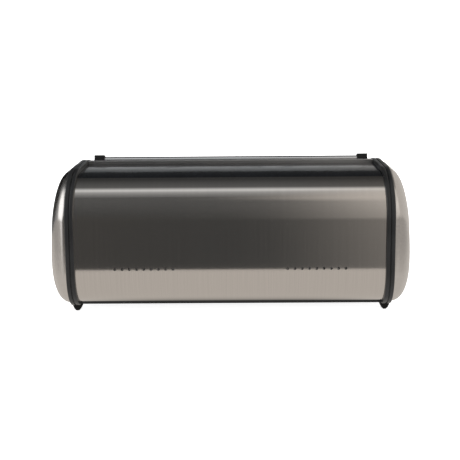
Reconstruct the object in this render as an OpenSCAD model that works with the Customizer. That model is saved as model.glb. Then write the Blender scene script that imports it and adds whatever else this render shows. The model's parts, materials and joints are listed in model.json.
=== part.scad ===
// Bread box with a roll top: a steel shell between two moulded side frames,
// domed end caps, and a curved lid that turns about two pins and rolls away inside.
// X runs along the box, -Y is the front, +Z is up. The origin is the middle of the footprint.

/* [Body] */
// Width between the side frames
inner_w = 342; // [310:2:380]
// Radius of the front curve, which is also half of the depth
front_r = 136; // [134:1:142]
// Radius of the lower half of the side frames' upper rear corner
top_rear_r = 39; // [35:1:44]
// Radius of the upper half of that corner
crown_r = 80; // [74:1:84]
// Radius of the side frames' lower rear corner
low_rear_r = 45; // [38:1:48]
// Height of the side frames' lower edge above the table
base_z = 8; // [6:0.5:9]
// Height of the lid's pivots above the table
pivot_z = 26; // [25:0.5:30]
// Thickness of the steel sheets
sheet_t = 0.8; // [0.6:0.1:1]
// How far the side frames stand out of the steel shell
rail_h = 4; // [3.5:0.1:4.2]

/* [Ends] */
// Thickness of a side frame
frame_t = 4; // [3.6:0.2:5]
// Width of a trim ring with its groove
ring_w = 5.5; // [5:0.5:8]
// Radial thickness of a trim ring
ring_t = 3; // [2.6:0.1:3.4]
// How far a cap's dome stands out of its ring
dome_h = 26.5; // [18:0.5:40]

/* [Vents] */
// Diameter of a vent hole
vent_d = 3.2; // [2:0.2:4]
// Distance between vent holes
vent_pitch = 8; // [6:0.5:10]
// Number of vent holes in a group
vent_count = 9; // [3:1:11]
// Distance from the middle of the box to the middle of a group
vent_x = 95; // [60:5:100]
// Height of the vent holes
vent_z = 57; // [54:1:80]

/* [Lid] */
// Outer radius of the lid sheet
lid_r = 128; // [126:0.5:128]
// Angle that the lid sheet covers
lid_arc = 99; // [92:1:100]
// Angle of the open lid's front edge above the front horizon
lid_open = 74; // [73:0.5:76]
// Angle that the lid turns through from open to closed
lid_travel = 78; // [70:1:78]
// Radius of the pivot pins
pin_r = 4; // [3:0.5:5]
// Radial running clearance of the pins in their bushes
pin_gap = 0.05; // [0.02:0.01:0.1]

/* [Handle] */
// Length of a handle block along the box
block_w = 12.5; // [10:0.5:14]
// Width of a handle block around the lid
block_l = 12; // [10:0.5:12.5]
// Height of a handle block above the lid
block_h = 14; // [12:0.5:16]
// Distance from the middle of the box to a handle block's centre
block_x = 161; // [140:1:163]
// Thickness of the handle bar
bar_t = 5; // [3:0.5:6]
// Width of the handle bar around the lid
bar_l = 9; // [6:0.5:10]

/* [Feet] */
// Length of a foot from front to back
foot_l = 16; // [12:1:16]
// Width of a foot at the top
foot_w = 11; // [8:0.5:12]
// Width of a foot at the table
foot_tip = 3.2; // [2:0.2:5]

/* [Hidden] */

round_fn = 96;
arc_step = 3;
half_w = inner_w / 2;
frame_out = half_w + frame_t;
ring_out = frame_out + ring_w;
groove_w = 1.2;
groove_d = 1.6;
fit_gap = 0.05;

// Centre [y, z], radius, first and last angle of each corner arc, anticlockwise from the rear
top_z = pivot_z + front_r;
crown_step = (crown_r - top_rear_r) * sqrt(0.5);
CORNERS = [
  [front_r - top_rear_r, top_z - crown_r + crown_step, top_rear_r, 0, 45],
  [front_r - top_rear_r - crown_step, top_z - crown_r, crown_r, 45, 90],
  [0, pivot_z, front_r, 90, 180],
  [-front_r + pivot_z - base_z, pivot_z, pivot_z - base_z, 180, 270],
  [front_r - low_rear_r, base_z + low_rear_r, low_rear_r, 270, 360]
];

// Shell and panels
panel_drop = 0.5;
panel_t = 2;
seam_angle = 70;
tuck_angle = 60;
bar_rear_y = 1;
bar_front_y = -22;
lid_gap = 1.6;
base_t = 3.75;
sill_y = -108;
sill_top = 15;
lip_top = 22;
lip_y = -118;
lip_t = 1.6;
boss_y = 70;
boss_z = 148;
boss_size = 9;
boss_l = 10;

// Caps
skin = 0.8;
dome_rings = 12;
dome_power = 3.64;
dome_mid = [0, 62];
dome_half = [134, 53];
dome_ease = 0.6;
tab_w = 10;
tab_depth = 2.5;

// Screws
screw_r = 1.2;
head_r = 2.8;
head_t = 1.8;
screw_l = 10;
FRAME_SCREWS = [
  [(bar_rear_y + bar_front_y) / 2, top_z - 3.9],
  [boss_y, boss_z],
  [62, base_z + 0.15 + base_t / 2],
  [-80, base_z + 0.15 + base_t / 2]
];

// Feet
rear_foot_y = 84;
front_foot_y = -96;
tongue_t = 2.4;
tongue_h = 5;

// Lid
arm_t = 2.1;
arm_in = half_w - 3;
rim_t = 4;
rim_w = 10;
hub_r = 11;
pin_head_r = 6.5;
pin_head_t = 1.8;
pin_end = frame_out + 4;
bush_r = 7;
bush_flange_r = 10;
bush_flange_t = 1.6;
bush_washer_t = 0.6;
clip_r = 7;
clip_t = 0.8;
rivet_r = 1.6;
rivet_head_r = 2.8;
rivet_head_t = 0.7;
head_gap = 0.12;
RIVET_TURNS = [14, 38, 62, 86];
seal_over = 0.7;
block_turn = 3;
stop_gap = 0.3;
open_stop_r = 4;
open_stop_at = 110;
closed_stop_r = 3;
closed_stop_at = 60;
stop_l = 5;

BLACK = [0.06, 0.06, 0.065];
STEEL = [0.62, 0.60, 0.58];

// Points along one corner arc, moved inwards by d
function arc(c, d, from, to) =
  let (n = max(2, ceil(abs(to - from) / arc_step)))
  [for (i = [0 : n])
    let (a = from + (to - from) * i / n)
    [c[0] + (c[2] - d) * cos(a), c[1] + (c[2] - d) * sin(a)]];

// A closed path without repeated points
function distinct(list) =
  [for (i = [0 : len(list) - 1]) if (norm(list[i] - list[(i + 1) % len(list)]) > 0.001) list[i]];

// The side frame's closed outline, moved inwards by d
function outline(d) = distinct([for (c = CORNERS) each arc(c, d, c[3], c[4])]);

// The shell's path over the floor, up the back and round to the seam
function shell_path(d) = concat(
  [[sill_y, base_z + d]],
  arc(CORNERS[4], d, 270, 360),
  arc(CORNERS[0], d, 0, 44),
  arc(CORNERS[1], d, 45, seam_angle));

// The top panel's path from an angle on the rear corner to the cross-bar
function top_path(d, from, to) = concat(
  arc(CORNERS[1], d, from, to),
  to == 90 ? [[bar_rear_y, top_z - d]] : []);

function reversed(list) = [for (i = [len(list) - 1 : -1 : 0]) list[i]];

module along_x(x0, x1) {
  translate([x0, 0, 0]) rotate([90, 0, 90]) linear_extrude(x1 - x0) children();
}

// Mirrors the +X end's piece to the -X end
module at_side(side) {
  mirror([side < 0 ? 1 : 0, 0, 0]) children();
}

// Puts local +Z on the radius at an angle above the front horizon
module at_angle(phi) {
  translate([0, 0, pivot_z]) rotate([90 - phi, 0, 0]) children();
}

module wedge(from, to) {
  reach = 2 * front_r;
  polygon(concat([[0, 0]],
    [for (i = [0 : 6]) let (a = from + (to - from) * i / 6) reach * [-cos(a), sin(a)]]));
}

// A ring section about the pivot axis
module band(r0, r1, from, to, x0, x1) {
  along_x(x0, x1) translate([0, pivot_z]) intersection() {
    difference() {
      circle(r1, $fn = round_fn);
      if (r0 > 0) circle(r0, $fn = round_fn);
    }
    wedge(from, to);
  }
}

module rod_x(r, x0, x1) {
  translate([x0, 0, 0]) rotate([0, 90, 0]) cylinder(r = r, h = x1 - x0, $fn = round_fn);
}

// ---- Body ----

module back_shell() {
  color(STEEL) difference() {
    along_x(-half_w, half_w)
      polygon(concat(shell_path(rail_h), reversed(shell_path(rail_h + sheet_t))));
    for (side = [-1, 1], i = [0 : vent_count - 1])
      translate([side * vent_x + (i - (vent_count - 1) / 2) * vent_pitch, front_r, vent_z])
        rotate([90, 0, 0]) cylinder(d = vent_d, h = 4 * rail_h, center = true, $fn = 32);
  }
}

module base_panel() {
  rear_y = front_r - low_rear_r + 4;
  color(BLACK) difference() {
    translate([-half_w, sill_y, base_z + 0.15])
      cube([inner_w, rear_y - sill_y, base_t]);
    for (side = [-1, 1], at = [FRAME_SCREWS[2], FRAME_SCREWS[3]]) at_side(side)
      translate([0, at[0], at[1]]) rod_x(screw_r + fit_gap, half_w - screw_l, half_w + 1);
  }
}

module top_panel() {
  top = rail_h + panel_drop;
  tuck = rail_h + sheet_t + fit_gap;
  color(BLACK) difference() {
    union() {
      along_x(-half_w, half_w) polygon(concat(
        top_path(tuck, tuck_angle, seam_angle + 0.1),
        top_path(top, seam_angle + 0.1, 90),
        reversed(top_path(top + panel_t, tuck_angle, 90))));
      for (side = [-1, 1]) at_side(side)
        translate([half_w - boss_l, boss_y - boss_size / 2, boss_z - boss_size / 2])
          cube([boss_l, boss_size, boss_size / 2 + top_z - top - panel_t / 2 - boss_z]);
    }
    for (side = [-1, 1]) at_side(side) translate([0, boss_y, boss_z])
      rod_x(screw_r + fit_gap, half_w - boss_l - 1, half_w + 1);
  }
}

module front_crossbar() {
  color([0.42, 0.42, 0.43]) difference() {
    along_x(-half_w, half_w) intersection() {
      translate([0, pivot_z]) difference() {
        circle(front_r - 0.4, $fn = round_fn);
        circle(lid_r + lid_gap, $fn = round_fn);
      }
      translate([bar_front_y, pivot_z]) square([bar_rear_y - bar_front_y, 2 * front_r]);
    }
    for (side = [-1, 1]) at_side(side)
      translate([0, FRAME_SCREWS[0][0], FRAME_SCREWS[0][1]])
        rod_x(screw_r + fit_gap, half_w - screw_l, half_w + 1);
  }
}

// Front rail below the lid, with an upturned lip that keeps crumbs in
module front_sill() {
  color(STEEL) {
    along_x(-half_w, half_w) intersection() {
      polygon(outline(1));
      translate([-front_r, 0]) square([front_r + sill_y, sill_top]);
    }
    along_x(-arm_in + 1, arm_in - 1)
      translate([lip_y, sill_top - 1]) square([lip_t, lip_top - sill_top + 1]);
  }
}

// ---- Ends, drawn for the +X side ----

module side_frame() {
  color(BLACK) difference() {
    along_x(half_w, frame_out) polygon(outline(0));
    translate([0, 0, pivot_z]) rod_x(bush_r, half_w - 1, frame_out + 1);
    for (at = FRAME_SCREWS) translate([0, at[0], at[1]]) {
      rod_x(screw_r + 0.2, half_w - 1, frame_out + 1);
      rod_x(head_r + 0.1, frame_out - head_t - 0.1, frame_out + 1);
    }
    for (y = [rear_foot_y, front_foot_y])
      translate([half_w + (frame_t - tongue_t) / 2 - fit_gap, y - foot_l / 4 - fit_gap, base_z - 1])
        cube([tongue_t + 2 * fit_gap, foot_l / 2 + 2 * fit_gap, tongue_h + 1 + fit_gap]);
    tab_shapes(fit_gap);
  }
}

module trim_ring() {
  color([0.075, 0.075, 0.08]) {
    along_x(frame_out + groove_w, ring_out) difference() {
      polygon(outline(0));
      polygon(outline(ring_t));
    }
    along_x(frame_out, frame_out + groove_w) difference() {
      polygon(outline(groove_d));
      polygon(outline(ring_t));
    }
  }
}

// A step of the dome: its scale and its height, both as fractions
function dome_step(k) =
  let (a = 90 * (1 - k / dome_rings)) [pow(sin(a), 2 / dome_power), cos(a)];

// One ring of the dome: the outline, which eases into an ellipse towards the crown
function dome_level(k, d, h) =
  let (s = dome_step(k), share = dome_ease * (1 - s[0] * s[0]))
  [for (p = outline(d))
    let (v = p - dome_mid, u = v / norm(v), soft = 1 / norm([u[0] / dome_half[0], u[1] / dome_half[1]]),
      q = dome_mid + s[0] * ((1 - share) * v + share * soft * u))
    [ring_out + h * s[1], q[0], q[1]]];

function skirt_level(d) = [for (p = outline(d)) [frame_out, p[0], p[1]]];

// Domed steel cap: a skirt inside the trim ring, then the dome, as one thin closed skin
module end_cap() {
  out_d = ring_t + fit_gap;
  in_d = out_d + skin;
  n = len(outline(0));
  levels = concat(
    [skirt_level(out_d)],
    [for (k = [0 : dome_rings - 1]) dome_level(k, out_d, dome_h)]);
  inner = concat(
    [skirt_level(in_d)],
    [for (k = [0 : dome_rings - 1]) dome_level(k, in_d, dome_h - skin)]);
  m = len(levels);
  tip_out = 2 * m * n;
  tip_in = tip_out + 1;
  points = concat([for (l = levels) each l], [for (l = inner) each l],
    [[ring_out + dome_h, dome_mid[0], dome_mid[1]]],
    [[ring_out + dome_h - skin, dome_mid[0], dome_mid[1]]]);
  faces = concat(
    [for (k = [0 : m - 2], i = [0 : n - 1]) let (j = (i + 1) % n)
      [k * n + i, (k + 1) * n + i, (k + 1) * n + j, k * n + j]],
    [for (i = [0 : n - 1]) [(m - 1) * n + i, tip_out, (m - 1) * n + (i + 1) % n]],
    [for (k = [0 : m - 2], i = [0 : n - 1]) let (j = (i + 1) % n, b = m * n)
      [b + k * n + i, b + k * n + j, b + (k + 1) * n + j, b + (k + 1) * n + i]],
    [for (i = [0 : n - 1]) let (b = m * n)
      [b + (m - 1) * n + i, b + (m - 1) * n + (i + 1) % n, tip_in]],
    [for (i = [0 : n - 1]) let (j = (i + 1) % n, b = m * n) [i, j, b + j, b + i]]);
  color(STEEL) polyhedron(points, faces);
}

// Four flat tabs inside the cap's skirt, which end in blind slots in the side frame
module tab_shapes(grow) {
  d = ring_t + fit_gap + skin;
  x0 = frame_out - tab_depth - grow;
  x1 = ring_out - 1;
  w = tab_w + 2 * grow;
  t = skin + 2 * grow;
  translate([x0, 30 - w / 2, top_z - d - skin - grow]) cube([x1 - x0, w, t]);
  translate([x0, -40 - w / 2, base_z + d - grow]) cube([x1 - x0, w, t]);
  translate([x0, front_r - d - skin - grow, 72 - w / 2]) cube([x1 - x0, t, w]);
  at_angle(30) translate([x0, -w / 2, front_r - d - skin - grow - 0.2])
    cube([x1 - x0, w, t]);
}

module cap_tabs() {
  color(STEEL) tab_shapes(0);
}

module frame_screws() {
  color([0.3, 0.3, 0.31]) for (at = FRAME_SCREWS) translate([0, at[0], at[1]]) {
    rod_x(screw_r, half_w - screw_l + 1, frame_out - head_t);
    rod_x(head_r, frame_out - head_t, frame_out);
  }
}

// Pointed foot under the frame and ring, with a tongue that fits a slot in the frame
module foot(y) {
  mid = (half_w + ring_out) / 2;
  color(BLACK) {
    translate([mid, y + foot_l / 2, 0]) rotate([90, 0, 0]) linear_extrude(foot_l)
      polygon([[-foot_w / 2, base_z], [-foot_tip / 2, 0], [foot_tip / 2, 0], [foot_w / 2, base_z]]);
    translate([half_w + (frame_t - tongue_t) / 2, y - foot_l / 4, base_z - 1])
      cube([tongue_t, foot_l / 2, tongue_h + 1]);
  }
}

module pivot_bush() {
  color([0.85, 0.85, 0.82]) translate([0, 0, pivot_z]) difference() {
    union() {
      rod_x(bush_flange_r, half_w - bush_washer_t, half_w);
      rod_x(bush_r, half_w - bush_washer_t, frame_out + bush_flange_t);
      rod_x(bush_flange_r, frame_out, frame_out + bush_flange_t);
    }
    rod_x(pin_r + pin_gap, half_w - 5, frame_out + 5);
  }
}

// Rubber stops on the frame: one for the open lid, one for the closed lid
module stop_buffers() {
  open_turn = lid_open + lid_arc + asin((open_stop_r + stop_gap) / open_stop_at);
  closed_turn = lid_open - lid_travel - asin((closed_stop_r + stop_gap) / closed_stop_at);
  color([0.12, 0.12, 0.12]) {
    at_angle(open_turn) translate([0, 0, open_stop_at])
      rod_x(open_stop_r, half_w - stop_l, half_w);
    at_angle(closed_turn) translate([0, 0, closed_stop_at])
      rod_x(closed_stop_r, half_w - stop_l, half_w);
  }
}

// ---- Lid, drawn open ----

module lid_sheet() {
  color(STEEL) difference() {
    band(lid_r - sheet_t, lid_r, lid_open, lid_open + lid_arc,
      -arm_in - arm_t, arm_in + arm_t);
    for (side = [-1, 1]) at_side(side) {
      for (turn = RIVET_TURNS) at_angle(lid_open + turn)
        translate([arm_in - rim_w / 2, 0, lid_r - 5])
          cylinder(r = rivet_r + fit_gap, h = 10, $fn = 32);
      at_angle(lid_open + block_turn) translate([block_x, 0, lid_r - 5])
        cylinder(r = screw_r + 0.2, h = 10, $fn = 32);
    }
  }
}

// Sector plate with a hub and a rim that the sheet is riveted to
module lid_arm() {
  bore = lid_r - sheet_t;
  color(BLACK) difference() {
    union() {
      band(0, bore, lid_open, lid_open + lid_arc, arm_in, arm_in + arm_t);
      translate([0, 0, pivot_z]) rod_x(hub_r, arm_in, arm_in + arm_t);
      band(bore - rim_t, bore, lid_open, lid_open + lid_arc, arm_in - rim_w, arm_in + 1);
    }
    translate([0, 0, pivot_z]) rod_x(pin_r + fit_gap, arm_in - 1, arm_in + arm_t + 1);
    for (turn = RIVET_TURNS) at_angle(lid_open + turn)
      translate([arm_in - rim_w / 2, 0, bore - rim_t - 1])
        cylinder(r = rivet_r + fit_gap, h = rim_t + 2, $fn = 32);
    at_angle(lid_open + block_turn) translate([block_x, 0, bore - rim_t - 1])
      cylinder(r = screw_r + 0.2, h = rim_t + 2, $fn = 32);
  }
}

module lid_rivets() {
  shank = rim_t + sheet_t;
  color([0.7, 0.7, 0.7]) for (turn = RIVET_TURNS) at_angle(lid_open + turn)
    translate([arm_in - rim_w / 2, 0, lid_r - shank]) {
      for (z = [-rivet_head_t - head_gap, shank + fit_gap])
        translate([0, 0, z]) cylinder(r = rivet_head_r, h = rivet_head_t, $fn = 32);
      translate([0, 0, -head_gap - 0.1]) cylinder(r = rivet_r, h = shank + head_gap + 0.2, $fn = 32);
    }
}

module pivot_pin() {
  clip_x = frame_out + bush_flange_t + 0.4;
  color([0.7, 0.7, 0.7]) translate([0, 0, pivot_z]) difference() {
    union() {
      rod_x(pin_head_r, arm_in - pin_head_t, arm_in);
      rod_x(pin_r, arm_in - pin_head_t, pin_end);
    }
    difference() {
      rod_x(pin_r + 1, clip_x, clip_x + clip_t);
      rod_x(pin_r - 0.8, clip_x - 1, clip_x + clip_t + 1);
    }
  }
}

module pivot_clip() {
  clip_x = frame_out + bush_flange_t + 0.4;
  color([0.35, 0.35, 0.36]) translate([0, 0, pivot_z]) difference() {
    rod_x(clip_r, clip_x + fit_gap, clip_x + clip_t - fit_gap);
    rod_x(pin_r - 0.8 + fit_gap, clip_x - 1, clip_x + clip_t + 1);
    translate([clip_x - 1, -1.5 * pin_r / 2, -clip_r - 1])
      cube([clip_t + 2, 1.5 * pin_r, clip_r]);
  }
}

// Rubber channel over one straight edge of the sheet, between the arms' rims
module edge_channel(x, from, to, slot_from, slot_to, over) {
  difference() {
    band(lid_r - sheet_t - over, lid_r + over, from, to, -x, x);
    band(lid_r - sheet_t - fit_gap, lid_r + fit_gap, slot_from, slot_to, -x - 1, x + 1);
  }
}

module lid_front_seal() {
  x = min(arm_in - rim_w, block_x - block_w / 2) - 0.5;
  color(BLACK) edge_channel(x, lid_open - 0.7, lid_open + 1.6, lid_open, lid_open + 2, seal_over);
}

module lid_rear_strip() {
  last = lid_open + lid_arc;
  x = arm_in - rim_w - 0.5;
  color(BLACK) edge_channel(x, last - 1.8, last + 0.6, last - 2, last, seal_over);
}

module handle_bar() {
  top_r = lid_r + block_h - 2;
  x = block_x - block_w / 2;
  l = bar_l / 2;
  half = [[l, -bar_t], [l, -0.66 * bar_t], [0.59 * l, -0.18 * bar_t], [0.23 * l, 0]];
  color(STEEL) at_angle(lid_open + block_turn) translate([0, 0, top_r])
    along_x(-x, x) polygon(concat(half, reversed([for (p = half) [-p[0], p[1]]])));
}

module handle_block() {
  color(BLACK) at_angle(lid_open + block_turn) difference() {
    translate([block_x - block_w / 2, -block_l / 2, lid_r + 0.2])
      cube([block_w, block_l, block_h - 0.2]);
    translate([block_x, 0, lid_r - 1]) cylinder(r = screw_r + fit_gap, h = 10, $fn = 32);
  }
}

module handle_screws() {
  low = lid_r - sheet_t - rim_t;
  color([0.5, 0.5, 0.5]) for (side = [-1, 1]) at_side(side)
    at_angle(lid_open + block_turn) translate([block_x, 0, low]) {
      translate([0, 0, -head_t - head_gap]) cylinder(r = head_r, h = head_t, $fn = 32);
      translate([0, 0, -head_gap - 0.1]) cylinder(r = screw_r, h = rim_t + sheet_t + 8, $fn = 32);
    }
}

back_shell();
base_panel();
top_panel();
front_crossbar();
front_sill();
at_side(1) side_frame();  // side_frame_left
at_side(-1) side_frame();  // side_frame_right
at_side(1) trim_ring();  // trim_ring_left
at_side(-1) trim_ring();  // trim_ring_right
at_side(1) end_cap();  // end_cap_left
at_side(-1) end_cap();  // end_cap_right
at_side(1) cap_tabs();  // cap_tabs_left
at_side(-1) cap_tabs();  // cap_tabs_right
at_side(1) frame_screws();  // frame_screws_left
at_side(-1) frame_screws();  // frame_screws_right
at_side(1) foot(rear_foot_y);  // foot_rear_left
at_side(-1) foot(rear_foot_y);  // foot_rear_right
at_side(1) foot(front_foot_y);  // foot_front_left
at_side(-1) foot(front_foot_y);  // foot_front_right
at_side(1) pivot_bush();  // pivot_bush_left
at_side(-1) pivot_bush();  // pivot_bush_right
at_side(1) stop_buffers();  // stop_buffers_left
at_side(-1) stop_buffers();  // stop_buffers_right
lid_sheet();
at_side(1) lid_arm();  // lid_arm_left
at_side(-1) lid_arm();  // lid_arm_right
at_side(1) lid_rivets();  // lid_rivets_left
at_side(-1) lid_rivets();  // lid_rivets_right
at_side(1) pivot_pin();  // pivot_pin_left
at_side(-1) pivot_pin();  // pivot_pin_right
at_side(1) pivot_clip();  // pivot_clip_left
at_side(-1) pivot_clip();  // pivot_clip_right
lid_front_seal();
lid_rear_strip();
handle_bar();
at_side(1) handle_block();  // handle_block_left
at_side(-1) handle_block();  // handle_block_right
handle_screws();
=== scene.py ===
"""Looks of the bread box with a roll top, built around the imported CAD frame. Metres, +Z up, back at +Y."""

import json
import math

import bpy
from mathutils import Matrix, Vector


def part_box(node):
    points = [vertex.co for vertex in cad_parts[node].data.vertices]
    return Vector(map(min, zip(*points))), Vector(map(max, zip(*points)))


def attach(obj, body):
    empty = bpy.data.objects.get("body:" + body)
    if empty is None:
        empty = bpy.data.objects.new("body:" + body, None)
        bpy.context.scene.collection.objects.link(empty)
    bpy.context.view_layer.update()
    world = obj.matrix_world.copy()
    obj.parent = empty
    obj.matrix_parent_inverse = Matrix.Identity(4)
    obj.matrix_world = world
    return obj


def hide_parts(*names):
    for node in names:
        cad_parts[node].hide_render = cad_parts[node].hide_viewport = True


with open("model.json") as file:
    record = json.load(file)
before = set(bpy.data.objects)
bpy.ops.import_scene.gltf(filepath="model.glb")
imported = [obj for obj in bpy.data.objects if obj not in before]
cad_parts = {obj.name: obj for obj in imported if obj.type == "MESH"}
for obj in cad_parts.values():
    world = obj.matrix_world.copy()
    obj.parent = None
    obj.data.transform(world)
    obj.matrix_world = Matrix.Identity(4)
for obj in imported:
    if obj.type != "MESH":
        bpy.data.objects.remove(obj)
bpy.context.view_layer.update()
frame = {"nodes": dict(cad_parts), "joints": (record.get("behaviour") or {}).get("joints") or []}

MM = 0.001

# ---- Dimensions, from the frame's boxes where a box gives them ----

FRAME_LO, FRAME_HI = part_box("side_frame_left")
RING_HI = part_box("trim_ring_left")[1]
CAP_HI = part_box("end_cap_left")[1]
SHELL_LO, SHELL_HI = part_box("back_shell")
PANEL_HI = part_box("top_panel")[1]
BASE_LO, BASE_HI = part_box("base_panel")
CROSS_LO, CROSS_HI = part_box("front_crossbar")
SILL_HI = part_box("front_sill")[1]
LID_LO, LID_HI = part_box("lid_sheet")
ARM_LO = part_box("lid_arm_left")[0]
PIVOT = Vector(frame["joints"][0]["pos_m"])

HALF_W = FRAME_LO.x
FRAME_OUT = FRAME_HI.x
RING_OUT = RING_HI.x
FRONT_R = FRAME_HI.y
BASE_Z = FRAME_LO.z
TOP_Z = FRAME_HI.z
TOP_REAR_R = 39 * MM
CROWN_R = 80 * MM
LOW_REAR_R = 45 * MM
FRONT_FOOT_R = PIVOT.z - BASE_Z
RAIL = FRAME_HI.y - SHELL_HI.y
SHEET = 0.8 * MM
GROOVE_W = 1.2 * MM
GROOVE_D = 1.6 * MM
RING_T = 3 * MM
FIT = 0.05 * MM
DOME_H = CAP_HI.x - RING_OUT

VENT_D = 3.2 * MM
VENT_PITCH = 8 * MM
VENT_COUNT = 9
VENT_X = 95 * MM
VENT_Z = 57 * MM

LID_R = 128 * MM
LID_OPEN = 74
LID_ARC = 99
ARM_IN = ARM_LO.x + 10 * MM
ARM_T = 2.1 * MM
RIM_T = 4 * MM
RIM_W = 10 * MM
HUB_R = 11 * MM
RIVET_TURNS = (14, 38, 62, 86)
BLOCK_TURN = 3
BLOCK_H = 14 * MM
BLOCK_L = 12 * MM

# Centre (y, z), radius, first and last angle of each corner arc of the side frames
CROWN_STEP = (CROWN_R - TOP_REAR_R) * math.sqrt(0.5)
CORNERS = [
    (FRONT_R - TOP_REAR_R, TOP_Z - CROWN_R + CROWN_STEP, TOP_REAR_R, 0, 45),
    (FRONT_R - TOP_REAR_R - CROWN_STEP, TOP_Z - CROWN_R, CROWN_R, 45, 90),
    (0, PIVOT.z, FRONT_R, 90, 180),
    (FRONT_FOOT_R - FRONT_R, PIVOT.z, FRONT_FOOT_R, 180, 270),
    (FRONT_R - LOW_REAR_R, BASE_Z + LOW_REAR_R, LOW_REAR_R, 270, 360),
]


# ---- Outlines ----


def arc(corner, inset, start, end, step=2.0):
    """Points (y, z) along one corner arc, moved inwards by inset."""
    y, z, radius, _, _ = corner
    count = max(2, math.ceil(abs(end - start) / step))
    angles = [math.radians(start + (end - start) * i / count) for i in range(count + 1)]
    return [(y + (radius - inset) * math.cos(a), z + (radius - inset) * math.sin(a)) for a in angles]


def spread(points, longest, closed=False):
    """Adds points so that no straight stretch is longer than longest."""
    out = []
    pairs = list(zip(points, points[1:] + points[:1])) if closed else list(zip(points, points[1:]))
    for a, b in pairs:
        count = max(1, math.ceil(math.dist(a, b) / longest - 1e-6))
        out += [tuple(p + (q - p) * i / count for p, q in zip(a, b)) for i in range(count)]
    return out if closed else out + [points[-1]]


def outline(inset, longest=None):
    """The side frames' closed outline, moved inwards by inset."""
    points = [p for c in CORNERS for p in arc(c, inset, c[3], c[4])]
    points = [p for p, q in zip(points, points[1:] + points[:1]) if math.dist(p, q) > 1e-6]
    return spread(points, longest, closed=True) if longest else points


def rounded(points, radii, steps=4):
    """A closed 2D polygon with its corners rounded: one radius, or one for each corner."""
    if isinstance(radii, (int, float)):
        radii = [radii] * len(points)
    out = []
    for i, radius in enumerate(radii):
        p, c, n = (Vector(points[(i + k) % len(points)]) for k in (-1, 0, 1))
        if radius <= 0:
            out.append(tuple(c))
            continue
        u, v = (p - c).normalized(), (n - c).normalized()
        half = math.acos(max(-1.0, min(1.0, u.dot(v)))) / 2
        back = min(radius / math.tan(half), (p - c).length * 0.49, (n - c).length * 0.49)
        start, end = c + u * back, c + v * back
        for k in range(steps + 1):
            t = k / steps
            out.append(tuple(start * (1 - t) ** 2 + c * 2 * t * (1 - t) + end * t**2))
    return out


def on_lid(phi, radius, along=0.0):
    """(y, z) on the lid at an angle above the front horizon, with along measured round the lid."""
    a = math.radians(phi)
    return (PIVOT.y - radius * math.cos(a) + along * math.sin(a),
            PIVOT.z + radius * math.sin(a) + along * math.cos(a))


def lid_frame(phi, x=0.0):
    """Matrix whose +Z points along the radius at phi, at the pivot."""
    return Matrix.Translation((x, PIVOT.y, PIVOT.z)) @ Matrix.Rotation(math.radians(90 - phi), 4, "X")


# ---- Mesh building ----


class Piece:
    """Collects vertices and faces, then makes one object."""

    def __init__(self, name, side=1):
        self.name, self.side = name, side
        self.verts, self.faces, self.uvs = [], [], []

    def point(self, x, y, z, uv=(0.0, 0.0)):
        self.verts.append((self.side * x, y, z))
        self.uvs.append(uv)
        return len(self.verts) - 1

    def face(self, *ids):
        self.faces.append(ids if self.side > 0 else ids[::-1])

    def grid(self, rows, close_rows=False, close_cols=False):
        """Quads between rows of vertex numbers."""
        row_pairs = list(zip(rows, rows[1:])) + ([(rows[-1], rows[0])] if close_rows else [])
        for a, b in row_pairs:
            count = len(a)
            for i in range(count if close_cols else count - 1):
                j = (i + 1) % count
                self.face(a[i], a[j], b[j], b[i])

    def sweep(self, section, closed=True, caps=False, longest=None):
        """Sweeps a section of (x, inset) points round the outline."""
        rows = [[self.point(x, y, z) for y, z in outline(d, longest)] for x, d in section]
        self.grid(rows[::-1], close_rows=closed, close_cols=True)
        if caps:
            self.face(*rows[0][::-1])
            self.face(*rows[-1])
        return self

    def prism(self, loop, x0, x1):
        """A closed (y, z) loop, anticlockwise seen from +X, pulled along X."""
        a = [self.point(x0, y, z) for y, z in loop]
        b = [self.point(x1, y, z) for y, z in loop]
        self.grid([a, b], close_cols=True)
        self.face(*a[::-1])
        self.face(*b)
        return self

    def lathe(self, profile, matrix, sides=28):
        """A profile of (radius, height) points, from one pole to the other, turned about local Z."""
        rows = []
        for radius, height in profile:
            ring = []
            for i in range(sides):
                a = 2 * math.pi * i / sides
                p = matrix @ Vector((radius * math.cos(a), radius * math.sin(a), height))
                ring.append(self.point(*p))
            rows.append(ring)
        self.grid(rows, close_cols=True)
        self.face(*rows[0][::-1])
        self.face(*rows[-1])
        return self

    def make(self, material, body, slot, *nodes, bevel=0.0, solid=0.0, segments=2, crisp=35):
        mesh = bpy.data.meshes.new(self.name)
        mesh.from_pydata(self.verts, [], self.faces)
        layer = mesh.uv_layers.new(name="grain")
        for loop in mesh.loops:
            layer.data[loop.index].uv = self.uvs[loop.vertex_index]
        mesh.materials.append(material)
        mesh.shade_smooth()
        mesh.set_sharp_from_angle(angle=math.radians(crisp))
        obj = bpy.data.objects.new(self.name, mesh)
        bpy.context.scene.collection.objects.link(obj)
        if solid:
            mod = obj.modifiers.new("thickness", "SOLIDIFY")
            mod.thickness, mod.offset = solid, -1
            mod = obj.modifiers.new("crisp rims", "EDGE_SPLIT")
            mod.split_angle = math.radians(crisp)
        if bevel:
            mod = obj.modifiers.new("edges", "BEVEL")
            mod.width, mod.segments = bevel, segments
            mod.limit_method, mod.angle_limit = "ANGLE", math.radians(40)
            mod.harden_normals = False
        if bevel or solid:
            mod = obj.modifiers.new("normals", "WEIGHTED_NORMAL")
            mod.keep_sharp = True
        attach(obj, body)
        if nodes:
            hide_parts(*nodes)
        return obj


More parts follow.
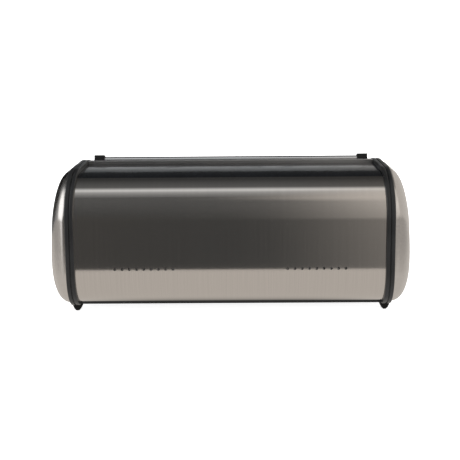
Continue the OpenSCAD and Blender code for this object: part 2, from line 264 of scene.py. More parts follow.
def half_lathe(radius, height, edge, steps=4):
    """Profile of a round head: flat under, rounded edge, slightly crowned top."""
    crown = height * 0.18
    points = [(radius, 0.0)]
    for i in range(steps + 1):
        a = math.pi / 2 * i / steps
        points.append((radius - edge + edge * math.cos(a), height - crown - edge + edge * math.sin(a)))
    for i in range(1, steps + 1):
        r = (radius - edge) * (1 - i / steps)
        points.append((max(r, 0.02 * MM), height - crown * (r / radius) ** 2))
    return points


# ---- Materials ----


class Material:
    """A node material with a Principled shader and short helpers for its textures."""

    def __init__(self, name, colour, roughness, **sockets):
        self.mat = bpy.data.materials.new(name)
        self.mat.use_nodes = True
        self.nodes, self.links = self.mat.node_tree.nodes, self.mat.node_tree.links
        self.shader = self.nodes["Principled BSDF"]
        self.set("Base Color", (*colour, 1))
        self.set("Roughness", roughness)
        for key, value in sockets.items():
            self.set(key.replace("_", " "), value)

    def set(self, socket, value):
        self.shader.inputs[socket].default_value = value

    def feed(self, output, socket):
        self.links.new(output, self.shader.inputs[socket])

    def coords(self, scale, source="Object"):
        tex = self.nodes.new("ShaderNodeTexCoord")
        mapping = self.nodes.new("ShaderNodeMapping")
        mapping.inputs["Scale"].default_value = scale
        self.links.new(tex.outputs[source], mapping.inputs["Vector"])
        return mapping.outputs["Vector"]

    def noise(self, vector, scale=1.0, detail=3.0, rough=0.5):
        node = self.nodes.new("ShaderNodeTexNoise")
        node.inputs["Scale"].default_value = scale
        node.inputs["Detail"].default_value = detail
        node.inputs["Roughness"].default_value = rough
        self.links.new(vector, node.inputs["Vector"])
        return node.outputs["Fac"]

    def remap(self, value, low, high, start=0.3, end=0.7):
        node = self.nodes.new("ShaderNodeMapRange")
        node.inputs["From Min"].default_value, node.inputs["From Max"].default_value = start, end
        node.inputs["To Min"].default_value, node.inputs["To Max"].default_value = low, high
        self.links.new(value, node.inputs["Value"])
        return node.outputs["Result"]

    def tint(self, value, dark, light, start=0.3, end=0.7):
        node = self.nodes.new("ShaderNodeValToRGB")
        ramp = node.color_ramp
        ramp.elements[0].position, ramp.elements[0].color = start, (*dark, 1)
        ramp.elements[1].position, ramp.elements[1].color = end, (*light, 1)
        self.links.new(value, node.inputs["Fac"])
        return node.outputs["Color"]

    def add(self, a, b, share):
        """a plus share times b, about b's middle."""
        node = self.nodes.new("ShaderNodeMath")
        node.operation = "MULTIPLY_ADD"
        node.inputs[1].default_value = share
        self.links.new(b, node.inputs[0])
        self.links.new(a, node.inputs[2])
        return node.outputs["Value"]

    def bump(self, height, distance, strength=1.0):
        node = self.nodes.new("ShaderNodeBump")
        node.inputs["Distance"].default_value = distance
        node.inputs["Strength"].default_value = strength
        self.links.new(height, node.inputs["Height"])
        self.feed(node.outputs["Normal"], "Normal")

    def tangent(self, uv_map="grain"):
        node = self.nodes.new("ShaderNodeTangent")
        node.direction_type, node.uv_map = "UV_MAP", uv_map
        self.feed(node.outputs["Tangent"], "Tangent")


def brushed_steel(name, colour, roughness, anisotropic, across, along, depth, tangent=True):
    """Steel with scratches: across is their fineness, along their length, both per metre."""
    m = Material(name, colour, roughness, Metallic=1.0, Anisotropic=anisotropic)
    fine = m.noise(m.coords((across, along, 1), "UV"), detail=4, rough=0.65)
    broad = m.noise(m.coords((across * 0.12, along * 0.4, 1), "UV"), detail=2)
    smudge = m.noise(m.coords((14, 14, 22)), detail=3)
    scratches = m.add(fine, broad, 0.25)
    dark = tuple(c * 0.95 for c in colour)
    light = tuple(min(1, c * 1.045) for c in colour)
    m.feed(m.tint(scratches, dark, light, 0.42, 0.83), "Base Color")
    low, high = roughness - 0.006, roughness + 0.01
    m.feed(m.remap(m.add(scratches, smudge, 0.5), low, high, 0.65, 1.1), "Roughness")
    m.bump(fine, depth, 0.25)
    if tangent:
        m.tangent()
    return m.mat


def satin_steel(name, colour, roughness, scale, depth):
    """Steel with a soft, almost directionless satin finish in the object's own space."""
    m = Material(name, colour, roughness, Metallic=1.0)
    fine = m.noise(m.coords(scale), detail=4, rough=0.6)
    smudge = m.noise(m.coords((18, 18, 18)), detail=3)
    dark = tuple(c * 0.95 for c in colour)
    light = tuple(min(1, c * 1.04) for c in colour)
    m.feed(m.tint(fine, dark, light), "Base Color")
    m.feed(m.remap(m.add(fine, smudge, 0.8), roughness - 0.04, roughness + 0.05, 0.6, 1.2), "Roughness")
    m.bump(fine, depth, 0.3)
    return m.mat


def moulded(name, colour, roughness, grain=1400.0, depth=0.02 * MM, **sockets):
    """Moulded plastic or rubber: a fine grain, with broad changes in gloss and shade."""
    m = Material(name, colour, roughness, **sockets)
    fine = m.noise(m.coords((1, 1, 1)), scale=grain, detail=2)
    broad = m.noise(m.coords((1, 1, 1)), scale=35, detail=3)
    dark = tuple(c * 0.8 for c in colour)
    light = tuple(min(1, c * 1.25) for c in colour)
    m.feed(m.tint(broad, dark, light), "Base Color")
    m.feed(m.remap(m.add(broad, fine, 0.4), roughness - 0.06, roughness + 0.08, 0.5, 0.9), "Roughness")
    m.bump(fine, depth, 0.4)
    return m.mat


SHELL_STEEL = brushed_steel("shell_steel", (0.64, 0.605, 0.57), 0.085, 1.0, 2600, 9, 0.002 * MM)
LID_STEEL = brushed_steel("lid_steel", (0.62, 0.60, 0.58), 0.2, 0.9, 2600, 9, 0.006 * MM)
CAP_STEEL = satin_steel("cap_steel", (0.66, 0.635, 0.61), 0.21, (60, 700, 700), 0.01 * MM)
CROSS_STEEL = satin_steel("crossbar_steel", (0.46, 0.46, 0.465), 0.34, (30, 2200, 2200), 0.01 * MM)
BAR_STEEL = satin_steel("handle_steel", (0.60, 0.60, 0.60), 0.14, (25, 2600, 2600), 0.006 * MM)
SILL_STEEL = satin_steel("sill_steel", (0.60, 0.58, 0.56), 0.27, (25, 2400, 2400), 0.008 * MM)
ZINC = satin_steel("zinc", (0.58, 0.58, 0.57), 0.30, (900, 900, 900), 0.01 * MM)
BLACK = moulded("frame_plastic", (0.010, 0.0105, 0.011), 0.34, Specular_IOR_Level=0.36)
BLOCK = moulded("block_plastic", (0.006, 0.006, 0.0065), 0.42, Specular_IOR_Level=0.3)
INNER = moulded("arm_plastic", (0.016, 0.016, 0.017), 0.45)
GLOSS = moulded("gloss_plastic", (0.004, 0.0045, 0.0055), 0.09, grain=160, depth=0.006 * MM)
FOOT_RUBBER = moulded("foot_rubber", (0.0035, 0.0035, 0.0035), 0.6, Specular_IOR_Level=0.2)
RUBBER = moulded("rubber", (0.014, 0.014, 0.014), 0.7, grain=2200, depth=0.03 * MM)
# Grey lacquer for the shell's inside, its dark tone partly painted shade so the vent holes read dark
HOLE_SHADE_LACQUER = moulded("inner_lacquer_hole_shade", (0.20, 0.20, 0.205), 0.38)
NYLON = moulded("nylon", (0.62, 0.61, 0.56), 0.4)


# ---- Body ----


def shell_path():
    """(y, z) points of the shell's outer face: floor, lower corner, back, upper corner."""
    top, crown, low = CORNERS[0], CORNERS[1], CORNERS[4]
    seam = math.degrees(math.asin((SHELL_HI.z - crown[1]) / (crown[2] - RAIL)))
    half = VENT_PITCH / 2
    back_rows = [VENT_Z + half * k / 2 for k in range(-2, 3)]
    low_arc, top_arc = arc(low, RAIL, 270, 360), arc(top, RAIL, 0, 44) + arc(crown, RAIL, 45, seam)
    start = [(SHELL_LO.y, low_arc[0][1]), (low_arc[0][0] - 1 * MM, low_arc[0][1])]
    floor = spread(start, 20 * MM)
    rise = [(top_arc[0][0], z) for z in [*back_rows, back_rows[-1] + 6 * MM, top_arc[0][1] - 1 * MM]]
    return floor + low_arc + rise + top_arc


def shell_columns():
    """X places of the shell's grid, with four columns to each vent hole's cell."""
    quarter = VENT_PITCH / 4
    reach = VENT_PITCH * VENT_COUNT / 2
    near = [-VENT_X - reach + quarter * i for i in range(4 * VENT_COUNT + 1)]
    far = [VENT_X - reach + quarter * i for i in range(4 * VENT_COUNT + 1)]
    edges = [(-HALF_W, near[0]), (near[-1], far[0]), (far[-1], HALF_W)]
    fills = [[a + (b - a) * i / 6 for i in range(1, 6)] for a, b in edges]
    return [-HALF_W, *fills[0], *near, *fills[1], *far, *fills[2], HALF_W]


def shell_sheet():
    """One steel sheet with two rows of vent holes, each cut into its own cell of the grid."""
    piece = Piece("shell_sheet")
    path, xs = shell_path(), shell_columns()
    length = [0.0]
    for a, b in zip(path, path[1:]):
        length.append(length[-1] + math.dist(a, b))
    rows = [[piece.point(x, y, z, (x, s)) for x in xs] for (y, z), s in zip(path, length)]
    half = VENT_PITCH / 2
    first_row = next(i for i, (y, z) in enumerate(path) if abs(z - VENT_Z + half) < 1e-6 and y > 0)
    centres = [side * VENT_X + (i - (VENT_COUNT - 1) / 2) * VENT_PITCH
               for side in (-1, 1) for i in range(VENT_COUNT)]
    first_cols = [min(range(len(xs)), key=lambda i: abs(xs[i] - c + half)) for c in centres]
    holes = {(first_row + r, c0 + c) for c0 in first_cols for r in range(4) for c in range(4)}
    for r in range(len(rows) - 1):
        for c in range(len(xs) - 1):
            if (r, c) not in holes:
                piece.face(rows[r][c], rows[r + 1][c], rows[r + 1][c + 1], rows[r][c + 1])
    for centre, c0 in zip(centres, first_cols):
        ring = [(0, c) for c in range(4)] + [(r, 4) for r in range(4)]
        ring += [(4, 4 - c) for c in range(4)] + [(4 - r, 0) for r in range(4)]
        outer = [rows[first_row + r][c0 + c] for r, c in ring]
        inner = []
        for v in outer:
            x, y, z = piece.verts[v]
            a = math.atan2(z - VENT_Z, x - centre)
            u, w = centre + VENT_D / 2 * math.cos(a), VENT_Z + VENT_D / 2 * math.sin(a)
            s = piece.uvs[v][1] + w - z
            inner.append(piece.point(u, y, w, (u, s)))
        for i in range(16):
            j = (i + 1) % 16
            piece.face(outer[j], outer[i], inner[i], inner[j])
    obj = piece.make(SHELL_STEEL, "base", "steel_sheet", "back_shell", solid=SHEET)
    # The inner face and the edges take the second material, a grey lacquer whose dark tone is partly painted
    # shade for the vent holes
    obj.data.materials.append(HOLE_SHADE_LACQUER)
    inside = obj.modifiers["thickness"]
    inside.material_offset = inside.material_offset_rim = 1
    return obj


def top_shelf():
    """Glossy recessed panel from the shell's seam to the cross-bar."""
    top = CORNERS[1]
    drop = TOP_Z - PANEL_HI.z
    seam = math.degrees(math.asin((SHELL_HI.z - top[1]) / (top[2] - RAIL)))
    under = arc(top, RAIL + SHEET + 2 * FIT, seam - 6, seam + 0.1)
    over = arc(top, drop, seam + 0.3, 90, step=1.0)
    path = spread(under + over + [(CROSS_HI.y, PANEL_HI.z)], 6 * MM)
    piece = Piece("top_shelf")
    xs = [-HALF_W + 2 * HALF_W * i / 24 for i in range(25)]
    flat, edge, sag = 20 * MM, top[0] + 2 * MM, 0.8 * MM
    rows = []
    for y, z in path:
        fall = sag * min(max((y - flat) / (edge - flat), 0), 1) ** 2
        rows.append([piece.point(x, y, z - fall, (x, y)) for x in xs])
    for a, b in zip(rows, rows[1:]):
        for i in range(len(xs) - 1):
            piece.face(a[i], b[i], b[i + 1], a[i + 1])
    return piece.make(GLOSS, "base", "gloss_black", "top_panel", solid=2 * MM)


def crossbar():
    """Low bar along the shelf's front edge, with softened edges."""
    def height(y, radius):
        return PIVOT.z + math.sqrt(radius**2 - y**2)
    low_r, top_r = LID_R + 1.6 * MM, FRONT_R - 0.4 * MM
    y0, y1 = CROSS_LO.y, CROSS_HI.y
    corners = [(y0, height(y0, low_r)), (y1, height(y1, low_r)),
               (y1, height(y1, top_r)), (y0, height(y0, top_r))]
    under_edge, top_edge = 0.5 * MM, 1.1 * MM
    section = rounded(corners, [under_edge, under_edge, top_edge, top_edge], 5)
    piece = Piece("crossbar").prism(section, -HALF_W, HALF_W)
    return piece.make(CROSS_STEEL, "base", "grey_steel", "front_crossbar", bevel=0.3 * MM)


def sill():
    """Front rail with an upturned, hemmed lip."""
    inset, top = 1 * MM, 15 * MM
    _, z, radius = CORNERS[3][:3]
    end = 180 + math.degrees(math.asin((z - top) / (radius - inset)))
    nose = arc(CORNERS[3], inset, end, 270, step=4)
    lip = (-118 * MM, -116.4 * MM)
    hem = rounded([(lip[1], SILL_HI.z), (lip[0], SILL_HI.z), (lip[0], top), (lip[1], top)],
                  [0.75 * MM, 0.75 * MM, 0, 0], 4)[:10]
    loop = nose + [(SILL_HI.y, nose[-1][1]), (SILL_HI.y, top - 1 * MM), (SILL_HI.y - 1 * MM, top)]
    piece = Piece("sill").prism(loop, -HALF_W, HALF_W)
    foot_of_lip = [(lip[0], top - 0.4 * MM), (lip[1], top - 0.4 * MM)]
    piece.prism(foot_of_lip + hem, 1 * MM - ARM_IN, ARM_IN - 1 * MM)
    return piece.make(SILL_STEEL, "base", "steel_sheet", "front_sill", bevel=0.25 * MM)


def base_tray():
    """Black tray under the shell, with stiffening ribs across its underside."""
    lo, hi = BASE_LO, BASE_HI
    skin = 0.6 * MM
    loop = rounded([(lo.y, lo.z + skin), (hi.y, lo.z + skin), (hi.y, hi.z), (lo.y, hi.z)], 0.5 * MM)
    piece = Piece("base_tray").prism(loop, -HALF_W, HALF_W)
    ribs = 9
    for i in range(ribs):
        y = lo.y + (hi.y - lo.y) * (i + 0.5) / ribs
        rib = rounded([(y - 2 * MM, lo.z), (y + 2 * MM, lo.z), (y + 3 * MM, lo.z + 2 * skin),
                       (y - 3 * MM, lo.z + 2 * skin)], 0.3 * MM)
        piece.prism(rib, -HALF_W + 8 * MM, HALF_W - 8 * MM)
    return piece.make(BLACK, "base", "black_plastic", "base_panel", bevel=0.2 * MM)


# ---- Ends ----


def side_frame(name, side):
    """Moulded frame plate with a rounded rail edge and a shallow sunk field inside."""
    field, sunk, edge = 9 * MM, 0.5 * MM, 1.1 * MM
    corners = [(HALF_W, 0), (FRAME_OUT, 0)]
    bend = rounded([(HALF_W, 8 * MM), *corners, (FRAME_OUT, 8 * MM)], [0, edge, edge * 0.7, 0], 5)
    inside = [(HALF_W + sunk, field + 0.6 * MM), (HALF_W, field)]
    Piece("frame_" + name, side).sweep(inside + bend, closed=False, caps=True).make(
        BLACK, "base", "black_plastic", "side_frame_" + name)


def trim_ring(name, side):
    """Ring that clamps the cap, with a groove against the side frame."""
    groove_x = FRAME_OUT + GROOVE_W
    corners = [(FRAME_OUT, RING_T), (FRAME_OUT, GROOVE_D), (groove_x, GROOVE_D), (groove_x, 0),
               (RING_OUT, 0), (RING_OUT, RING_T)]
    section = rounded(corners, [0, 0, 0.2 * MM, 0.9 * MM, 2.5 * MM, 0.4 * MM], 6)
    Piece("ring_" + name, side).sweep(section).make(BLACK, "base", "black_plastic", "trim_ring_" + name)


def end_cap(name, side):
    """Drawn steel dome: the outline at its edge eases into an ellipse towards its crown."""
    inset, power, steps = RING_T + FIT, 3.64, 40
    mid_y, mid_z, half_y, half_z, ease = 0.0, 62 * MM, 134 * MM, 53 * MM, 0.6
    rim = outline(inset, longest=6 * MM)
    piece = Piece("cap_" + name, side)
    rows = [[piece.point(x, y, z) for y, z in rim] for x in (FRAME_OUT, RING_OUT - 1 * MM)]
    for k in range(steps):
        a = math.pi / 2 * (1 - k / steps)
        scale, height = math.sin(a) ** (2 / power), math.cos(a)
        share = ease * (1 - scale**2)
        row = []
        for y, z in rim:
            dy, dz = y - mid_y, z - mid_z
            far = math.hypot(dy, dz)
            soft = 1 / math.hypot(dy / far / half_y, dz / far / half_z)
            reach = scale * ((1 - share) + share * soft / far)
            row.append(piece.point(RING_OUT + DOME_H * height, mid_y + dy * reach, mid_z + dz * reach))
        rows.append(row)
    piece.grid(rows, close_cols=True)
    crown = piece.point(RING_OUT + DOME_H, mid_y, mid_z)
    last = rows[-1]
    for i in range(len(last)):
        piece.face(last[i], last[(i + 1) % len(last)], crown)
    piece.make(CAP_STEEL, "base", "steel_cap", "end_cap_" + name, solid=SHEET, crisp=60)


def foot(name, side, node):
    """Pointed foot with a rounded tip, narrower at both ends."""
    lo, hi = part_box(node)
    mid = abs(lo.x + hi.x) / 2
    tip, top, waist = 1.6 * MM, 5.5 * MM, 3.4 * MM
    knee = 0.72 * top, 2.4 * MM
    half = [(top, BASE_Z + 1 * MM), (top, BASE_Z - 1.6 * MM), knee, (tip, 0)]
    corners = [(-x, z) for x, z in half] + half[::-1]
    bends = [0, 2 * MM, 2 * MM, 1.2 * MM]
    section = rounded(corners, bends + bends[::-1], 5)
    piece = Piece("foot_" + name, side)
    ends = [(lo.y, 0.8), (lo.y + 1.5 * MM, 1.0), (lo.y + waist, 1.0), (hi.y - waist, 1.0),
            (hi.y - 1.5 * MM, 1.0), (hi.y, 0.8)]
    rows = []
    for y, scale in ends:
        rows.append([piece.point(mid + x * scale, y, BASE_Z + (z - BASE_Z) * (0.9 if scale < 1 else 1))
                     for x, z in section])
    piece.grid(rows, close_cols=True)
    piece.face(*rows[0][::-1])
    piece.face(*rows[-1])
    piece.make(FOOT_RUBBER, "base", "foot_rubber", node, bevel=0.3 * MM)


def stops(name, side):
    """Two rubber buffers with rounded ends on the frame's inner wall."""
    piece = Piece("stops_" + name)
    length = 5 * MM
    for phi, at, radius in ((LID_OPEN + LID_ARC + 2.24, 110 * MM, 4 * MM), (-7.15, 60 * MM, 3 * MM)):
        y, z = on_lid(phi, at)
        turn = Matrix.Rotation(-side * math.pi / 2, 4, "Y")
        place = Matrix.Translation((side * HALF_W, y, z)) @ turn
        piece.lathe(half_lathe(radius, length, 1 * MM), place, 24)
    piece.make(RUBBER, "base", "rubber", "stop_buffers_" + name)


# ---- Lid, open ----


def lid_sheet():
    """Curved steel sheet of the roll top."""
    piece = Piece("lid_skin")
    xs = [LID_LO.x + (LID_HI.x - LID_LO.x) * i / 20 for i in range(21)]
    rows = []
    for i in range(LID_ARC + 1):
        phi = LID_OPEN + i
        y, z = on_lid(phi, LID_R)
        rows.append([piece.point(x, y, z, (x, LID_R * math.radians(i))) for x in xs])
    piece.grid(rows)
    return piece.make(LID_STEEL, "lid", "steel_sheet", "lid_sheet", solid=SHEET)


def lid_arm(name, side):
    """Sector plate with a hub, a rim under the sheet and raised ribs on its inner face."""
    bore = LID_R - SHEET - FIT
    last = LID_OPEN + LID_ARC
    loop = [on_lid(LID_OPEN + LID_ARC * i / 50, bore) for i in range(51)]
    loop += [on_lid(last + (360 - LID_ARC) * i / 24, HUB_R) for i in range(25)]
    piece = Piece("arm_" + name, side).prism(loop[::-1], ARM_IN, ARM_IN + ARM_T)
    rim = [on_lid(LID_OPEN + LID_ARC * i / 50, bore) for i in range(51)]
    rim += [on_lid(last - LID_ARC * i / 50, bore - RIM_T) for i in range(51)]
    piece.prism(rim[::-1], ARM_IN - RIM_W, ARM_IN + 0.2 * MM)
    rib_w, rib_h = 2.2 * MM, 1.6 * MM
    for turn in (4, LID_ARC / 3, LID_ARC * 2 / 3, LID_ARC - 4):
        phi = LID_OPEN + turn
        rib = rounded([on_lid(phi, 16 * MM, -rib_w), on_lid(phi, 16 * MM, rib_w),
                       on_lid(phi, bore - RIM_T, rib_w), on_lid(phi, bore - RIM_T, -rib_w)], 0.8 * MM)
        piece.prism(rib[::-1], ARM_IN - rib_h, ARM_IN + 0.2 * MM)
    piece.make(INNER, "lid", "black_plastic", "lid_arm_" + name, bevel=0.3 * MM)


def rivets(name, side):
    """Domed rivets through the sheet and the arm's rim."""
    piece = Piece("rivets_" + name)
    x = side * (ARM_IN - RIM_W / 2)
    low = LID_R - SHEET - RIM_T
    head = half_lathe(2.8 * MM, 0.7 * MM, 0.3 * MM)
    flip = Matrix.Rotation(math.pi, 4, "X")
    for turn in RIVET_TURNS:
        place = lid_frame(LID_OPEN + turn, x)
        piece.lathe(head, place @ Matrix.Translation((0, 0, LID_R)), 24)
        piece.lathe(head, place @ Matrix.Translation((0, 0, low)) @ flip, 24)
    piece.make(ZINC, "lid", "fastener", "lid_rivets_" + name)


def pin(name, side):
    """Shouldered pivot pin with a crowned head inside the arm."""
    piece = Piece("pin_" + name)
    turn = Matrix.Rotation(-side * math.pi / 2, 4, "Y")
    head = Matrix.Translation((side * ARM_IN, PIVOT.y, PIVOT.z)) @ turn
    piece.lathe(half_lathe(6.5 * MM, 1.8 * MM, 0.6 * MM, 6), head, 36)
    shaft_len = FRAME_OUT + 4 * MM - ARM_IN
    back = head @ Matrix.Rotation(math.pi, 4, "X")
    piece.lathe(half_lathe(3.95 * MM, shaft_len, 0.5 * MM), back, 32)
    piece.make(ZINC, "lid", "fastener", "pivot_pin_" + name)


def edge_strip(name, node, first, last):
    """Rounded rubber channel along one straight edge of the sheet."""
    over = 0.7 * MM
    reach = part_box(node)[1].x
    loop = rounded([on_lid(first, LID_R - SHEET - over), on_lid(last, LID_R - SHEET - over),
                    on_lid(last, LID_R + over), on_lid(first, LID_R + over)], 0.7 * MM, 5)
    Piece(name).prism(loop[::-1], -reach, reach).make(RUBBER, "lid", "rubber", node, bevel=0.3 * MM)


def handle():
    """Steel bar between two moulded blocks, square to the lid, and their screws inside."""
    phi = LID_OPEN + BLOCK_TURN
    bar_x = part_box("handle_bar")[1].x
    top, thick, half = LID_R + BLOCK_H - 2 * MM, 5 * MM, 4.5 * MM
    crown = [(half, -thick), (half, -0.74 * thick), (0.63 * half, -0.315 * thick), (0.22 * half, 0.0)]
    crown += [(-along, fall) for along, fall in reversed(crown)]
    bar = rounded([on_lid(phi, top + fall, along) for along, fall in crown],
                  [0.9 * MM, *[0.4 * MM] * 6, 0.9 * MM], 4)
    Piece("grip_bar").prism(bar[::-1], -bar_x - 1 * MM, bar_x + 1 * MM).make(
        BAR_STEEL, "lid", "handle_steel", "handle_bar")
    low, half = LID_R + 0.2 * MM, BLOCK_L / 2
    high = LID_R + BLOCK_H
    lo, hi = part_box("handle_block_left")
    for name, side in (("left", 1), ("right", -1)):
        block = rounded([on_lid(phi, low, -half), on_lid(phi, low, half),
                         on_lid(phi, high, half), on_lid(phi, high, -half)],
                        [0.4 * MM, 0.4 * MM, 1.4 * MM, 1.4 * MM], 5)
        Piece("block_" + name, side).prism(block[::-1], lo.x, hi.x).make(
            BLOCK, "lid", "block_plastic", "handle_block_" + name, bevel=0.9 * MM, segments=3)
    screws = Piece("grip_screws")
    head, flip = half_lathe(2.8 * MM, 1.8 * MM, 0.7 * MM, 5), Matrix.Rotation(math.pi, 4, "X")
    for side in (-1, 1):
        place = lid_frame(phi, side * (lo.x + hi.x) / 2) @ Matrix.Translation((0, 0, LID_R - SHEET - RIM_T))
        screws.lathe(head, place @ flip, 28)
    screws.make(ZINC, "lid", "fastener", "handle_screws")


def dress_cad_nodes():
    """The small CAD pieces whose shape is right get their finish."""
    for side in ("left", "right"):
        for node, material in (("cap_tabs_", CAP_STEEL), ("frame_screws_", ZINC),
                               ("pivot_bush_", NYLON), ("pivot_clip_", ZINC)):
            slots = frame["nodes"][node + side].material_slots
            for s in slots:
                s.material = material


def build():
    shell_sheet()
    top_shelf()
    crossbar()
    sill()
    base_tray()
    for name, side in (("left", 1), ("right", -1)):
        side_frame(name, side)
        trim_ring(name, side)
        end_cap(name, side)
        foot("rear_" + name, side, "foot_rear_" + name)
        foot("front_" + name, side, "foot_front_" + name)
        stops(name, side)
        lid_arm(name, side)
        rivets(name, side)
        pin(name, side)
    lid_sheet()
    last = LID_OPEN + LID_ARC
    edge_strip("front_seal", "lid_front_seal", LID_OPEN - 0.7, LID_OPEN + 1.6)
    edge_strip("rear_strip", "lid_rear_strip", last - 1.8, last + 0.6)
    handle()
    dress_cad_nodes()


# ---- Studio ----


def stage_mesh(name, verts, faces, material):
    mesh = bpy.data.meshes.new(name)
    mesh.from_pydata(verts, [], faces)
    mesh.materials.append(material)
    obj = bpy.data.objects.new(name, mesh)
    bpy.context.scene.collection.objects.link(obj)
    return obj


def only_in_reflections(obj):
    obj.visible_camera = obj.visible_diffuse = obj.visible_shadow = False
    obj.visible_transmission = obj.visible_volume_scatter = False


class Glow(Material):
    """An emission material whose brightness depends on where its own surface lies."""

    def __init__(self, name):
        super().__init__(name, (0, 0, 0), 1)
        self.nodes.remove(self.shader)
        self.emit = self.nodes.new("ShaderNodeEmission")
        out = self.nodes["Material Output"]
        self.links.new(self.emit.outputs["Emission"], out.inputs["Surface"])
        self.mat.cycles.emission_sampling = "NONE"

    def math(self, operation, a, b=None, c=None):
        node = self.nodes.new("ShaderNodeMath")
        node.operation = operation
        for i, value in enumerate(v for v in (a, b, c) if v is not None):
            if isinstance(value, (int, float)):
                node.inputs[i].default_value = value
            else:
                self.links.new(value, node.inputs[i])
        return node.outputs["Value"]

    def smooth(self, value, start, end):
        node = self.nodes.new("ShaderNodeMapRange")
        node.interpolation_type = "SMOOTHSTEP"
        node.inputs["From Min"].default_value, node.inputs["From Max"].default_value = start, end
        self.links.new(value, node.inputs["Value"])
        return node.outputs["Result"]

    def round_ramp(self, value, stops, tone):
        """Colour by angle, for a value that runs from 0 at -90 degrees to 1 at 270."""
        node = self.nodes.new("ShaderNodeValToRGB")
        ramp = node.color_ramp
        ramp.elements.remove(ramp.elements[1])
        for i, (degrees, bright) in enumerate(stops):
            place = (degrees + 90) / 360
            stop = ramp.elements[0] if i == 0 else ramp.elements.new(place)
            stop.position = place
            stop.color = (*(bright * c for c in tone), 1)
        self.links.new(value, node.inputs["Fac"])
        return node.outputs["Color"]

    def mix(self, factor, a, b):
        node = self.nodes.new("ShaderNodeMix")
        node.data_type = "RGBA"
        self.links.new(factor, node.inputs["Factor"])
        for socket, value in (("A", a), ("B", b)):
            target = [s for s in node.inputs if s.name == socket and s.type == "RGBA"][0]
            if isinstance(value, tuple):
                target.default_value = (*value, 1)
            else:
                self.links.new(value, target)
        return [s for s in node.outputs if s.type == "RGBA"][0]


# The studio round the box's length, as (degrees, brightness) from the rear horizon over the top:
# a dim room, one soft box overhead, a dark ceiling in front of it and a bright front horizon
ROOM, SOFTBOX, CEILING, HORIZON = 0.06, 0.9, 0.05, 0.75
ROUND_RAMP = [
    (-90, 0.3), (-12, ROOM), (80, 2 * ROOM), (90, SOFTBOX / 2), (95, SOFTBOX), (102, 3 * CEILING),
    (125, CEILING), (168, CEILING), (173, HORIZON), (200, 0.4), (270, 0.3),
]
# The same for the pale wall on the -X side, which the soft box and the ceiling run on over
WALL = 0.7
SIDE_RAMP = [
    (-90, 0.5), (-12, WALL / 2), (0, WALL), (80, 1.5 * WALL), (95, SOFTBOX), (102, 3 * CEILING),
    (125, CEILING), (168, CEILING), (173, HORIZON), (270, 0.5),
]
WARM = (1.0, 0.947, 0.888)
COOL = (0.96, 0.985, 1.0)

# Soft cards: azimuth from the rear towards +X, elevation, radius, softness in degrees, colour, brightness
CARDS = [
    (34, -6, 8, 30, WARM, 0.09),
    (75, 24, 28, 20, (1, 1, 1), 1.6),
    (130, 0, 16, 10, (1, 1, 1), 0.3),
    (148, 7, 13, 11, (1, 1, 1), 0.0),
    (-120, 14, 36, 12, WARM, 0.62),
    (-60, 62, 12, 14, WARM, 0.75),
]


def studio_dome():
    """A sphere seen only in reflections, which holds the dark room, softboxes and cards."""
    g = Glow("studio_glow")
    tex = g.nodes.new("ShaderNodeTexCoord")
    unit = g.nodes.new("ShaderNodeVectorMath")
    unit.operation = "NORMALIZE"
    g.links.new(tex.outputs["Object"], unit.inputs[0])
    split = g.nodes.new("ShaderNodeSeparateXYZ")
    g.links.new(unit.outputs["Vector"], split.inputs["Vector"])
    angle = g.math("ARCTAN2", split.outputs["Z"], split.outputs["Y"])
    wrapped = g.math("FLOORED_MODULO", g.math("ADD", g.math("DIVIDE", angle, 2 * math.pi), 0.25), 1.0)
    room, wall = g.round_ramp(wrapped, ROUND_RAMP, COOL), g.round_ramp(wrapped, SIDE_RAMP, WARM)
    colour = g.mix(g.smooth(split.outputs["X"], -0.02, -0.28), room, wall)
    for azimuth, elevation, radius, softness, tone, bright in CARDS:
        a, e = math.radians(azimuth), math.radians(elevation)
        aim = g.nodes.new("ShaderNodeVectorMath")
        aim.operation = "DOT_PRODUCT"
        g.links.new(unit.outputs["Vector"], aim.inputs[0])
        aim.inputs[1].default_value = (math.sin(a) * math.cos(e), math.cos(a) * math.cos(e), math.sin(e))
        off = g.math("ARCCOSINE", aim.outputs["Value"])
        share = g.smooth(off, math.radians(radius + softness), math.radians(radius))
        colour = g.mix(share, colour, tuple(c * bright for c in tone))
    g.links.new(colour, g.emit.inputs["Color"])
    bpy.ops.mesh.primitive_uv_sphere_add(segments=48, ring_count=24, radius=6, location=(0, 0, 0.1))
    dome = bpy.context.object
    dome.name = "studio_dome"
    dome.data.materials.append(g.mat)
    only_in_reflections(dome)


def white_sheet():
    """The pale sheet as the steel sees it: a painted shadow keeps it dark under the box, and it is dimmer
    far out to the sides.
    """
    g = Glow("sheet_glow")
    shadow_depth, near, far = 0.108, 0.625, 0.40
    tex = g.nodes.new("ShaderNodeTexCoord")
    split = g.nodes.new("ShaderNodeSeparateXYZ")
    g.links.new(tex.outputs["Object"], split.inputs["Vector"])
    across = g.math("POWER", g.math("DIVIDE", g.math("ABSOLUTE", split.outputs["X"]), CAP_HI.x), 4.0)
    deep = g.math("POWER", g.math("DIVIDE", g.math("ABSOLUTE", split.outputs["Y"]), shadow_depth), 4.0)
    off = g.math("POWER", g.math("ADD", across, deep), 0.25)
    # Painted shadow: the glow falls to near black under the box, where the box shades the floor
    lit = g.smooth(off, 0.64, 1.07)
    colour = g.mix(lit, (0.01, 0.01, 0.01), tuple(near * c for c in WARM))
    away = g.smooth(g.math("ABSOLUTE", split.outputs["X"]), CAP_HI.x + 0.08, CAP_HI.x + 0.45)
    colour = g.mix(away, colour, tuple(far * c for c in WARM))
    g.links.new(colour, g.emit.inputs["Color"])
    wide, front, rear, low = 1.6, -0.385, SHELL_HI.y + 0.249, 0.4 * MM
    verts = [(-wide, front, low), (wide, front, low), (wide, rear, low), (-wide, rear, low)]
    only_in_reflections(stage_mesh("white_sheet", verts, [(0, 1, 2, 3)], g.mat))


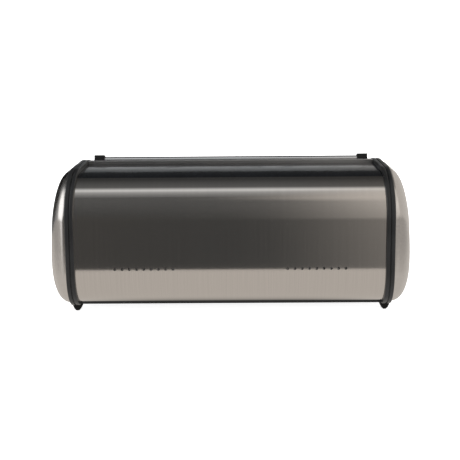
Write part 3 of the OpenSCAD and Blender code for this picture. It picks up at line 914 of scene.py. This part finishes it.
def floor():
    """Pale seamless floor."""
    m = Material("floor_paint", (0.90, 0.90, 0.90), 0.8)
    broad = m.noise(m.coords((1, 1, 1)), scale=3, detail=2)
    m.feed(m.tint(broad, (0.895, 0.895, 0.895), (0.905, 0.905, 0.905)), "Base Color")
    m.set("Emission Color", (1, 1, 1, 1))
    m.set("Emission Strength", 0.9)
    half = 9.0
    verts = [(-half, -half, 0), (half, -half, 0), (half, half, 0), (-half, half, 0)]
    obj = stage_mesh("floor", verts, [(0, 1, 2, 3)], m.mat)
    obj.visible_glossy = False


def world_light():
    world = bpy.data.worlds.new("studio")
    bpy.context.scene.world = world
    world.use_nodes = True
    background = world.node_tree.nodes["Background"]
    background.inputs["Color"].default_value = (1, 1, 1, 1)
    background.inputs["Strength"].default_value = 1.2
    world.cycles_visibility.glossy = False


def soft_key():
    """Large overhead light for the diffuse surfaces."""
    data = bpy.data.lights.new("soft_key", "AREA")
    data.energy, data.size = 14, 2.4
    lamp = bpy.data.objects.new("soft_key", data)
    lamp.location = (0.3, 0.8, 2.2)
    lamp.rotation_euler = (Vector((0, 0, 0.05)) - lamp.location).to_track_quat("-Z", "Y").to_euler()
    lamp.visible_glossy = False
    bpy.context.scene.collection.objects.link(lamp)


def camera():
    """Behind the box, a little above it, level to within half a degree."""
    yaw, pitch, roll = math.radians(-0.591), math.radians(10.592), math.radians(-0.461)
    forward = Vector((-math.sin(yaw) * math.cos(pitch), -math.cos(yaw) * math.cos(pitch), -math.sin(pitch)))
    level = Vector((-math.cos(yaw), math.sin(yaw), 0))
    upright = level.cross(forward)
    right = level * math.cos(roll) + upright * math.sin(roll)
    up = upright * math.cos(roll) - level * math.sin(roll)
    data = bpy.data.cameras.new("camera")
    data.sensor_width, data.lens = 36, 83.93
    cam = bpy.data.objects.new("camera", data)
    turn = Matrix((right, up, -forward)).transposed().to_4x4()
    cam.matrix_world = Matrix.Translation((-0.012, 1.2823, 0.3157)) @ turn
    bpy.context.scene.collection.objects.link(cam)
    bpy.context.scene.camera = cam


bpy.context.scene.view_settings.view_transform = "Standard"
camera()
build()
world_light()
soft_key()
floor()
white_sheet()
studio_dome()
